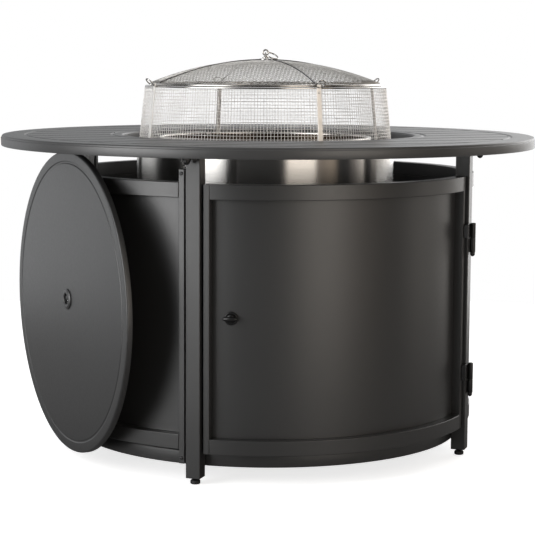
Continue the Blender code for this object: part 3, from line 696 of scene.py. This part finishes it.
def make_door():
    dress(frame_pieces("door_tubes", DOOR_RADIUS, DOOR_SPAN, DOOR_SPAN), CHARCOAL, "door_frame")
    panel = panel_piece("door_sheet", DOOR_RADIUS, DOOR_SPAN)
    hole = lathe("hole", band(0.0050, 0, -0.02, 0.02), 32, 0.0002, 1, latch_place(DOOR_RADIUS - SETBACK))
    cut(panel, hole)
    shade(panel.data, 35)
    dress(panel, CHARCOAL, "door_panel")
    for name, heights in HINGES.items():
        make_hinge(name, *heights)
    make_latch()


def make_hinge(name, bottom, split, top):
    """Round knuckles with leaves and flat screw heads, and a pin with a pointed tip."""
    axis = Matrix.Translation((0, -HINGE_RADIUS, 0))
    for key, low, high in (("post", bottom, split - GAP), ("door", split, top)):
        pieces = [lathe("knuckle", band(BARREL, BORE, low, high), 40, 0.0006, 3, axis)]
        if key == "post":
            pieces.append(block("leaf", (-0.011, -0.4284, low + 0.0005), (0.011, -0.4264, high - 0.0006),
                                0.0006, 2))
            x, y = 0.0078, -0.4284
        else:
            pieces.append(block("leaf", (-0.0275, -0.4286, low + 0.0005), (-0.0040, -0.4268, high - 0.0005),
                                0.0006, 2))
            pieces.append(block("step", (-0.0280, -0.4284, low + 0.001), (-0.0165, -0.4204, high - 0.001),
                                0.0008, 2))
            x, y = -0.0215, -0.4286
        for z in (low + 0.0075, high - 0.0075):
            place = Matrix.Translation((x, y, z)) @ rotation(90, "X")
            pieces.append(lathe("head", [(0, -0.0004), (0.0027, -0.0004), (0.0024, 0.0007), (0.0012, 0.0010),
                                         (0.0012, 0.0004), (0, 0.0004)], 24, 0.0002, 2, place))
        dress(turn(join(f"hinge_{name}_{key}_knuckle", *pieces), HINGE_AZIMUTH), BLACK, f"hinge_{name}_{key}")
    tip, neck = bottom - 0.0083, bottom - GAP
    pin = lathe(f"hinge_{name}_pin_turned", [
        (0, tip), (0.0022, tip + 0.0006), (0.0046, tip + 0.0032), (0.0048, tip + 0.0050),
        (0.0048, neck), (PIN, neck), (PIN, top - 0.0020), (0, top - 0.0012)], 32, 0.0004, 2, axis)
    dress(turn(pin, HINGE_AZIMUTH), BLACK, f"hinge_{name}_pin")


def latch_place(radius):
    """Takes a turned piece to the latch, with its +Z out of the door and its z = 0 at the radius."""
    at = Matrix.Translation((0, -radius, LATCH_HEIGHT))
    return rotation(LATCH_AZIMUTH, "Z") @ at @ rotation(90, "X")


def make_latch():
    place = latch_place(DOOR_RADIUS - SETBACK)
    plate = lathe("latch_plate", [
        (0.0050, 0.0004), (0.0128, 0.0004), (0.0128, 0.0018), (0.0118, 0.0031), (0.0100, 0.0034),
        (0.0088, 0.0026), (0.0070, 0.0026), (0.0064, 0.0034), (0.0050, 0.0034)], 64, 0.0004, 2, place)
    dress(plate, BLACK, "latch_escutcheon")
    hub = lathe("hub", [
        (0, -0.0101), (0.0042, -0.0101), (0.0042, 0.0038), (0.0085, 0.0038), (0.0085, 0.0062),
        (0.0070, 0.0080), (0.0050, 0.0090), (0, 0.0094)], 48, 0.0005, 3, place)
    wing = make_wing()
    wing.data.transform(place)
    dress(join("latch_wing", hub, wing), BLACK, "latch_lever")
    cam_back = -0.3885
    cam = block("cam", (-0.0085, -0.3915, LATCH_HEIGHT - 0.0600), (0.0085, cam_back, LATCH_HEIGHT + 0.0090),
                0.0010, 3)
    nut = lathe("nut", band(0.0062, 0, -0.0005, 0.0042), 6, 0.0005, 2,
                Matrix.Translation((0, cam_back, LATCH_HEIGHT)) @ rotation(-90, "X"), 30)
    dress(turn(join("latch_bar", cam, nut), LATCH_AZIMUTH), BLACK, "latch_cam")


def make_wing():
    """The wing: a long grip, thick at the hub and drawn to rounded points at both ends."""
    bm = bmesh.new()
    rows = []
    count, sides = 17, 12
    for i in range(count):
        t = -1 + 2 * i / (count - 1)
        half = 0.0046 * sqrt(max(0.0, 1 - abs(t) ** 2.6)) + 0.0002
        top = 0.0085 + 0.0070 * (1 - 0.45 * t * t)
        row = []
        for j in range(sides):
            angle = 2 * pi * j / sides
            flat = 1 if sin(angle) > 0 else 0.35
            z = top - 0.0045 + 0.0045 * sin(angle) * flat
            row.append(bm.verts.new((0.0152 * t, half * cos(angle), z)))
        rows.append(row)
    for low, high in zip(rows, rows[1:]):
        for j in range(sides):
            k = (j + 1) % sides
            bm.faces.new([low[j], low[k], high[k], high[j]])
    bm.faces.new(rows[0])
    bm.faces.new(list(reversed(rows[-1])))
    return object_from("wing", bm, 60)


# ---- drum, bowl, grate, drawer
def make_drum():
    """The drum, the ring with four arms that carries it, and the collar that the bowl stands on."""
    (_, _, bottom), (_, _, top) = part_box("drum")
    radius, hole = outer_radius("drum"), 0.060
    drum = lathe("drum_shell", [
        (hole, bottom), (radius - 0.001, bottom), (radius - 0.0002, bottom + 0.003),
        (radius - 0.0002, top - 0.004), (radius, top - 0.002), (radius - 0.001, top), (0.2530, top),
        (0.2530, top - 0.0016), (radius - 0.002, top - 0.0018), (radius - 0.002, bottom + 0.002),
        (hole, bottom + 0.002)], 256, 0.0008)
    dress(drum, DRUM_STEEL, "drum")
    (_, _, low), (_, _, high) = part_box("drum_support")
    spider = [lathe("ring", band(0.262, 0.236, low, high), 160, 0.0008,
                    matrix=Matrix.Translation(FIRE_CENTRE))]
    for azimuth in POST_AZIMUTHS.values():
        spider.append(turn(block("arm", (-0.0125, -0.3971, low + 0.001), (0.0125, -0.249, high - 0.001),
                                 0.0008, 2), azimuth))
    dress(join("drum_spider", *spider), BLACK, "drum_support")
    (_, _, low), (_, _, high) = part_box("bowl_stand")
    radius = outer_radius("bowl_stand")
    dress(lathe("bowl_collar", band(radius, radius - 0.003, low, high), 128, 0.0006), BLACK, "bowl_stand")


def make_bowl():
    """The bowl, dark with painted shade and a painted brown reflection, its bright rolled lip, and the log
    grate in it.
    """
    (_, _, bottom), (_, _, top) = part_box("fire_bowl")
    rim, hole, sheet = outer_radius("fire_bowl"), 0.045, 0.002
    bowl = lathe("bowl_shell", [
        (hole, bottom), (0.176, bottom), (0.190, bottom + 0.007), (0.202, bottom + 0.022),
        (0.2128, top - 0.0056), (0.2106, top - 0.0044), (0.1998, bottom + 0.0245), (0.1880, bottom + 0.0090),
        (0.1770, bottom + sheet), (hole, bottom + sheet)], 192, 0.0012)
    # The bowl's shell gets the darkened steel: painted shade and a painted brown reflection.
    dress(bowl, SHADED_BOWL_STEEL, "fire_bowl")
    lip = lathe("bowl_lip", [
        (0.2104, top - 0.0048), (0.2125, top - 0.0060), (rim - 0.0010, top - 0.0058), (rim, top - 0.0030),
        (rim - 0.0010, top - 0.0004), (0.2125, top), (0.2108, top - 0.0015)], 192, 0.0012)
    add(lip, BOWL_RIM_STEEL, "fire_bowl")
    floor = bottom + sheet
    low = floor + 0.028
    grate = [lathe("ring", band(0.158, 0.150, low, low + 0.006), 128, 0.0012)]
    for row in range(-3, 4):
        x = 0.04 * row
        reach = sqrt(0.154**2 - x * x) - 0.001
        grate.append(block("bar", (x - 0.004, -reach, low + 0.002), (x + 0.004, reach, low + 0.011),
                           0.0015, 3))
    for x in (-0.109, 0.109):
        for y in (-0.109, 0.109):
            grate.append(block("leg", (x - 0.003, y - 0.003, floor + GAP),
                               (x + 0.003, y + 0.003, low + 0.001), 0.0008, 2))
    dress(join("log_grate", *grate), IRON, "fire_grate")


def bevelled_copy(name, node, width):
    """A rounded copy of a CAD node's mesh."""
    mesh = frame["nodes"][node].data.copy()
    bm = bmesh.new()
    bm.from_mesh(mesh)
    bpy.data.meshes.remove(mesh)
    bmesh.ops.remove_doubles(bm, verts=bm.verts, dist=1e-6)
    bmesh.ops.dissolve_limit(bm, angle_limit=radians(1), verts=bm.verts, edges=bm.edges)
    return bevel(object_from(name, bm), width, 2)


def make_drawer():
    dress(bevelled_copy("ash_tray", "ash_drawer", 0.0006), CHARCOAL, "ash_drawer")
    dress(bevelled_copy("tray_runners", "drawer_rails", 0.0004), BLACK, "drawer_rails")


# ---- spark screen
SHELL_BOTTOM, SHELL_TOP = 0.6157, 0.7350
SHELL_LOW_RADIUS, SHELL_HIGH_RADIUS = 0.260, 0.247
HOOP_WIRE = 0.0025  # radius of the thick wire of the screen's and the dome's hoops
DOME_RADIUS, DOME_EDGE, DOME_APEX = 0.235, 0.7442, 0.7905


def shell_radius(z):
    """The outer radius of the screen's wall at a height."""
    along = (z - SHELL_BOTTOM) / (SHELL_TOP - SHELL_BOTTOM)
    return SHELL_LOW_RADIUS + (SHELL_HIGH_RADIUS - SHELL_LOW_RADIUS) * along


def make_screen():
    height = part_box("screen_base_hoop")[0].z + HOOP_WIRE
    dress(torus("screen_foot_hoop", 0.2590, HOOP_WIRE, height, 192), SCREEN_STEEL, "screen_base_hoop")
    make_side_mesh()
    (_, _, low), (_, _, high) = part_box("screen_top_ring")
    ring = lathe("screen_head_ring", band(0.2466, 0.2325, low, high), 192, 0.0012, 4)
    dress(ring, SCREEN_STEEL, "screen_top_ring")
    for name, azimuth in STRIP_AZIMUTHS.items():
        make_strip(name, azimuth)
        make_handle(name, azimuth)


def make_side_mesh():
    """Round wires woven over and under each other on a gently sloping wall."""
    around, rows, wire = 244, 18, 0.00043
    height = SHELL_TOP - SHELL_BOTTOM

    def point(azimuth, z, sway):
        """A point on a wire that sways out by the part sway of its radius."""
        weave = wire * sway
        return polar(azimuth, shell_radius(z) - 0.0006 + weave * 0.8, z)

    uprights, hoops = [], []
    for i in range(around):
        uprights.append([
            point(360 * i / around, SHELL_BOTTOM + height * j / (2 * rows),
                  0 if j % 2 == 0 else (1 if (i + j // 2) % 2 else -1)) for j in range(2 * rows + 1)])
    for j in range(rows):
        z = SHELL_BOTTOM + height * (j + 0.5) / rows
        hoops.append([point(360 * i / around, z, -1 if (i + j) % 2 else 1) for i in range(around)])
    side = join("screen_side_wires", tubes("uprights", uprights, wire, 5),
                tubes("hoops", hoops, wire, 5, closed=True))
    dress(side, MESH_STEEL, "screen_side_mesh")


def make_strip(name, azimuth):
    """A flat upright that follows the wall, with two rivets."""
    low, high, thickness = 0.6161, 0.7440, 0.002
    start, end = shell_radius(low) + 0.0004, shell_radius(high) + 0.0014

    def place(x, depth, z):
        radius = start + (end - start) * (z - low) / (high - low)
        return Vector((x, -radius - depth, z))

    parts = [bevel(cells("strip", (-0.005, 0.005), (0, thickness), (low, high), place), 0.0006, 3)]
    for z in (0.6225, 0.7290):
        rivet = Matrix.Translation(place(0, 0.0019, z)) @ rotation(90, "X")
        parts.append(lathe("rivet", [(0, -0.0003), (0.0026, -0.0003), (0.0022, 0.0008), (0.0010, 0.0013),
                                     (0, 0.0014)], 24, 0.0002, 2, rivet))
    dress(turn(join(f"screen_upright_{name}", *parts), azimuth), STRIP_STEEL, f"screen_strip_{name}")


HANDLE_RADIUS, HANDLE_WIRE = 0.0095, 0.0014
HANDLE_LEAN = 45  # degrees from upright


def make_handle(name, azimuth):
    """A small ring that leans out over a strip's top."""
    lean = Matrix.Translation((0, -0.2583, 0.7455)) @ rotation(HANDLE_LEAN - 90, "X")
    ring = torus(f"screen_lift_ring_{name}", HANDLE_RADIUS, HANDLE_WIRE, 0, 48, 12, lean)
    dress(turn(ring, azimuth), SCREEN_STEEL, f"screen_handle_{name}")


# ---- dome
def dome_height(radius, offset):
    """The height of the dome's sphere, or of one so far outside it, at a radius."""
    rise = DOME_APEX - DOME_EDGE
    sphere = (DOME_RADIUS**2 + rise**2) / (2 * rise)
    return DOME_APEX - sphere + sqrt((sphere + offset) ** 2 - radius**2)


def make_dome():
    """Two layers of fine wire that cross at right angles, a little askew to the door."""
    wire, pitch, limit = 0.00045, 0.0066, DOME_RADIUS - 0.0008
    middle, half_layer = -0.0006, 0.00025
    lines = []
    count = int(limit / pitch)
    slant = radians(38)
    for layer in (0, 1):
        angle = slant + layer * pi / 2
        offset = middle + (half_layer if layer else -half_layer)
        for i in range(-count, count + 1):
            away = i * pitch
            reach = sqrt(limit**2 - away**2)
            steps = max(4, int(reach / 0.010))
            path = []
            for j in range(steps + 1):
                t = -reach + 2 * reach * j / steps
                x, y = cos(angle) * t - sin(angle) * away, sin(angle) * t + cos(angle) * away
                path.append(Vector((x, y, dome_height(hypot(x, y), offset))))
            lines.append(path)
    dress(tubes("dome_wires", lines, wire, 4), DOME_STEEL, "dome_mesh")
    make_dome_frame()
    make_finial()


def make_dome_frame():
    """The dome's hoop, four flat ribs bent down to it, and the round hub that they meet under."""
    hoop_height = DOME_EDGE - GAP - HOOP_WIRE
    hoop = torus("hoop", 0.2360, HOOP_WIRE, hoop_height, 192)
    half_width, thickness, gap, steps, rib_radius = 0.0014, 0.0015, 0.0005, 24, 0.2352

    def place(x, upper, i):
        radius = rib_radius * i / steps
        return Vector((x, -radius - (0.0018 if upper and i == steps else 0),
                       dome_height(radius, gap + (thickness if upper else 0))))

    ribs = []
    for azimuth in STRIP_AZIMUTHS.values():
        rib = cells("rib", (-half_width, half_width), (0, 1), range(steps + 1), place)
        ribs.append(turn(bevel(rib, 0.0005, 2), azimuth))
        end = block("rib_end", (-half_width, -rib_radius - 0.002, hoop_height),
                    (half_width, -rib_radius, DOME_EDGE + 0.0022), 0.0004, 2)
        ribs.append(turn(end, azimuth))
    hub_top = DOME_APEX + 0.0029
    hub = lathe("hub", [(0, DOME_APEX + gap), (0.014, dome_height(0.014, gap)), (0.0138, DOME_APEX + 0.0022),
                        (0.0110, hub_top), (0, hub_top)], 64, 0.0005)
    dress(join("dome_hoop", hoop, hub), SCREEN_STEEL, "dome_frame")
    add(join("dome_ribs", *ribs), RIB_STEEL, "dome_frame")


EYE_HEIGHT, EYE_RADIUS, EYE_WIRE = 0.8055, 0.0053, 0.00165
RING_RADIUS, RING_WIRE = 0.0135, 0.0015
RING_AZIMUTH, RING_DROP, RING_ROLL = 63.9, 22, -20  # the way the loose ring has fallen


def make_finial():
    """The eye on its post, and the loose ring that hangs in it."""
    place = (rotation(RING_AZIMUTH - 90, "Z") @ Matrix.Translation((0, 0, EYE_HEIGHT))
             @ rotation(90, "X"))
    eye = torus("eye", EYE_RADIUS, EYE_WIRE, 0, 40, 14, place)
    foot = DOME_APEX + 0.0034
    neck = EYE_HEIGHT - EYE_RADIUS - 0.0006
    post = lathe("post", [(0, foot), (0.0070, foot), (0.0070, foot + 0.0018), (0.0034, foot + 0.0034),
                          (0.0027, neck), (0, neck)], 40, 0.0005)
    dress(join("finial_loop", eye, post), SCREEN_STEEL, "finial_eye")
    ring_place = (Matrix.Translation((0, 0, EYE_HEIGHT - 0.0012))
                  @ rotation(RING_AZIMUTH, "Z") @ rotation(RING_DROP, "X")
                  @ rotation(RING_ROLL, "Y") @ Matrix.Translation((0, -RING_RADIUS, 0)))
    ring = torus("finial_lift_ring", RING_RADIUS, RING_WIRE, 0, 64, 12, ring_place)
    dress(ring, SCREEN_STEEL, "finial_ring")


# ---- lid
LID_FACE_X = -0.4355
LID_YAW = 1.1  # degrees, since it hangs a little askew
LID_HOLE_RADIUS = 0.0085
LID_HOLE_Y, LID_HOLE_Z = 0.008, 0.005  # from the middle of the lid


def make_lid():
    """The stored lid with a groove inside its rim, the ring round its hole, and the peg that it hangs on."""
    (_, _, low), (_, _, high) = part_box("lid_plate")
    height, rim = (low + high) / 2, (high - low) / 2
    thickness, groove = 0.0116, rim - 0.0220
    side = (Matrix.Translation((LID_FACE_X, 0, height)) @ rotation(LID_YAW, "Z")
            @ rotation(90, "Y"))
    at_hole = side @ Matrix.Translation((-LID_HOLE_Z, LID_HOLE_Y, 0))
    lid = lathe("lid_pan", [
        (0, 0), (groove - 0.0028, 0), (groove - 0.0014, 0.0011), (groove + 0.0014, 0.0011),
        (groove + 0.0028, 0),
        (rim - 0.0028, 0), (rim - 0.0008, 0.0010), (rim, 0.0030), (rim, thickness),
        (rim - 0.0020, thickness), (rim - 0.0020, 0.0034), (0, 0.0030)], 256, 0.0010, 3, side)
    cut(lid, lathe("hole", band(LID_HOLE_RADIUS, 0, -0.01, 0.02), 64, 0.0002, 1, at_hole))
    shade(lid.data, 50)
    dress(lid, CHARCOAL, "lid_plate")
    grommet = lathe("lid_finger_ring", [
        (0.0105, -0.0004), (0.0105, -0.0030), (0.0125, -0.0042), (0.0172, -0.0040), (0.0205, -0.0018),
        (0.0205, -0.0004)], 96, 0.0007, 3, at_hole)
    dress(grommet, CHARCOAL, "lid_grommet")
    peg_radius, tip = 0.005, 0.4380
    peg_height = height + LID_HOLE_Z + LID_HOLE_RADIUS - peg_radius - GAP
    foot = SIDE_RADIUS - SETBACK + GAP
    outward = Matrix.Translation((0, LID_HOLE_Y, peg_height)) @ rotation(-90, "Y")
    peg = lathe("lid_hook", [(0, foot), (0.016, foot), (0.016, foot + 0.003), (peg_radius, foot + 0.003),
                             (peg_radius, 0.4370), (0.004, tip), (0, tip)], 48, 0.0006, 3, outward)
    dress(peg, BLACK, "lid_peg")


# ---- studio
def make_camera():
    data = bpy.data.cameras.new("camera")
    data.sensor_width = 36
    data.lens = 117.0
    camera = linked("camera", data)
    heading, pitch, roll = radians(26.1), 0.1205, 0.0053  # towards +X from +Y, down, and clockwise
    distance, height = 3.5844, 0.7965
    ahead = Vector((sin(heading), cos(heading), 0))
    right = Vector((cos(heading), -sin(heading), 0))
    forward = ahead * cos(pitch) - Vector((0, 0, sin(pitch)))
    up = right.cross(forward)
    rolled_right = right * cos(roll) + up * sin(roll)
    rolled_up = up * cos(roll) - right * sin(roll)
    turned = Matrix((rolled_right, rolled_up, -forward)).transposed().to_4x4()
    camera.matrix_world = Matrix.Translation(-ahead * distance + Vector((0, 0, height))) @ turned
    bpy.context.scene.camera = camera


AIM = Vector((0, 0, 0.35))  # the point that the lights face


def area_light(name, azimuth, distance, height, width, tall, power):
    data = bpy.data.lights.new(name, "AREA")
    data.shape = "RECTANGLE"
    data.size, data.size_y, data.energy = width, tall, power
    light = linked(name, data)
    light.location = polar(azimuth, distance, height)
    light.rotation_euler = (AIM - light.location).to_track_quat("-Z", "Y").to_euler()


# The light that comes from round the object: azimuth, then its colour
SURROUND = (
    (-180, (0.50, 0.51, 0.52)), (-150, (0.98, 0.99, 1.00)), (-138, (0.60, 0.61, 0.62)),
    (-126, (0.10, 0.10, 0.10)),
    (-108, (0.20, 0.20, 0.20)), (-98, (4.0, 4.0, 4.0)), (-68, (4.0, 4.0, 4.0)), (-58, (0.30, 0.30, 0.29)),
    (-50, (0.06, 0.06, 0.06)), (-10, (0.05, 0.05, 0.05)), (-5, (2.5, 2.3, 2.08)), (17, (2.5, 2.3, 2.08)),
    (21, (0.40, 0.34, 0.29)), (36, (0.60, 0.50, 0.40)), (42, (0.06, 0.06, 0.06)), (52, (0.06, 0.06, 0.06)),
    (60, (0.35, 0.32, 0.30)), (73, (1.30, 1.22, 1.12)), (80, (0.22, 0.20, 0.19)), (96, (0.70, 0.66, 0.60)),
    (112, (1.6, 1.55, 1.5)), (130, (2.8, 2.8, 2.8)), (142, (2.0, 2.0, 2.0)), (154, (0.75, 0.76, 0.77)),
    (180, (0.50, 0.51, 0.52)))
# How much of it is left at each height of the direction, from straight down to straight up
HEIGHTS = ((-1.0, 0.10), (-0.35, 0.20), (-0.16, 1.05), (0.18, 1.05), (0.38, 0.6), (0.68, 0.35), (1.0, 0.15))


def ramp_of(nodes, links, value, stops):
    """A colour ramp over stops (position from 0 to 1, colour)."""
    ramp = nodes.new("ShaderNodeValToRGB")
    elements = ramp.color_ramp.elements
    while len(elements) > 1:
        elements.remove(elements[0])
    for i, (position, colour) in enumerate(stops):
        element = elements[0] if i == 0 else elements.new(position)
        element.position = position
        element.color = (*colour, 1)
    links.new(value, ramp.inputs["Fac"])
    return ramp.outputs["Color"]


def node_of(nodes, links, kind, operation, *values):
    """The result of a maths node whose inputs are numbers or other nodes' outputs."""
    node = nodes.new(kind)
    node.operation = operation
    for socket, value in zip(node.inputs, values):
        if isinstance(value, (int, float)):
            socket.default_value = value
        else:
            links.new(value, socket)
    return node.outputs[0]


def mix_for_camera(nodes, links, lit, seen, out):
    """Sends the output one shader for light that bounces and another for what is seen directly."""
    mix = nodes.new("ShaderNodeMixShader")
    path = nodes.new("ShaderNodeLightPath")
    links.new(path.outputs["Is Camera Ray"], mix.inputs["Fac"])
    links.new(lit.outputs[0], mix.inputs[1])
    links.new(seen.outputs[0], mix.inputs[2])
    links.new(mix.outputs["Shader"], out.inputs["Surface"])


def make_world():
    """White where the camera sees it; for lighting, softboxes and dark flats that stand round the object."""
    world = bpy.data.worlds.new("studio")
    bpy.context.scene.world = world
    world.use_nodes = True
    nodes, links = world.node_tree.nodes, world.node_tree.links
    nodes.clear()
    direction = nodes.new("ShaderNodeTexCoord").outputs["Generated"]
    axes = nodes.new("ShaderNodeSeparateXYZ")
    links.new(direction, axes.inputs["Vector"])
    towards_door = node_of(nodes, links, "ShaderNodeMath", "MULTIPLY", axes.outputs["Y"], -1.0)
    azimuth = node_of(nodes, links, "ShaderNodeMath", "ARCTAN2", axes.outputs["X"], towards_door)
    turn_part = node_of(nodes, links, "ShaderNodeMath", "MULTIPLY_ADD", azimuth, 1 / (2 * pi), 0.5)
    height_part = node_of(nodes, links, "ShaderNodeMath", "MULTIPLY_ADD", axes.outputs["Z"], 0.5, 0.5)
    brightest = max(max(colour) for _, colour in SURROUND)
    around = ramp_of(nodes, links, turn_part,
                     [((degrees + 180) / 360, scaled(colour, 1 / brightest)) for degrees, colour in SURROUND])
    upwards = ramp_of(nodes, links, height_part, [((z + 1) / 2, (part, part, part)) for z, part in HEIGHTS])
    colour = node_of(nodes, links, "ShaderNodeVectorMath", "MULTIPLY", around, upwards)
    lit = nodes.new("ShaderNodeBackground")
    links.new(colour, lit.inputs["Color"])
    lit.inputs["Strength"].default_value = brightest
    seen = nodes.new("ShaderNodeBackground")
    seen.inputs["Color"].default_value = (1, 1, 1, 1)
    out = nodes.new("ShaderNodeOutputWorld")
    mix_for_camera(nodes, links, lit, seen, out)


def make_floor():
    """White paper that shows the shadow; it throws back less light onto the object than it shows."""
    bm = bmesh.new()
    bmesh.ops.create_circle(bm, cap_ends=True, segments=96, radius=2.2)
    floor = object_from("studio_floor", bm)
    made, nodes, links, shader = shader_of("studio_floor_paper")
    shader.inputs["Base Color"].default_value = (0.92, 0.92, 0.92, 1)
    shader.inputs["Roughness"].default_value = 0.85
    shader.inputs["Emission Color"].default_value = (1, 1, 1, 1)
    shader.inputs["Emission Strength"].default_value = 0.75
    dim = nodes.new("ShaderNodeBsdfDiffuse")
    dim.inputs["Color"].default_value = (0.35, 0.35, 0.35, 1)
    mix_for_camera(nodes, links, dim, shader, nodes["Material Output"])
    floor.data.materials.append(made)


def make_studio():
    make_world()
    make_floor()
    area_light("left_softbox", -82, 2.6, 1.5, 1.4, 1.8, 14)
    area_light("right_softbox", 100, 2.8, 1.5, 1.4, 1.8, 14)
    area_light("overhead", 0, 0.4, 3.0, 2.4, 2.4, 6)
    view = bpy.context.scene.view_settings
    view.view_transform = "Standard"
    view.look = "None"
    view.exposure = 0.0
    view.gamma = 1.0


make_camera()
make_top()
make_posts()
make_base()
make_sides()
make_door()
make_drum()
make_bowl()
make_drawer()
make_screen()
make_dome()
make_lid()
make_studio()
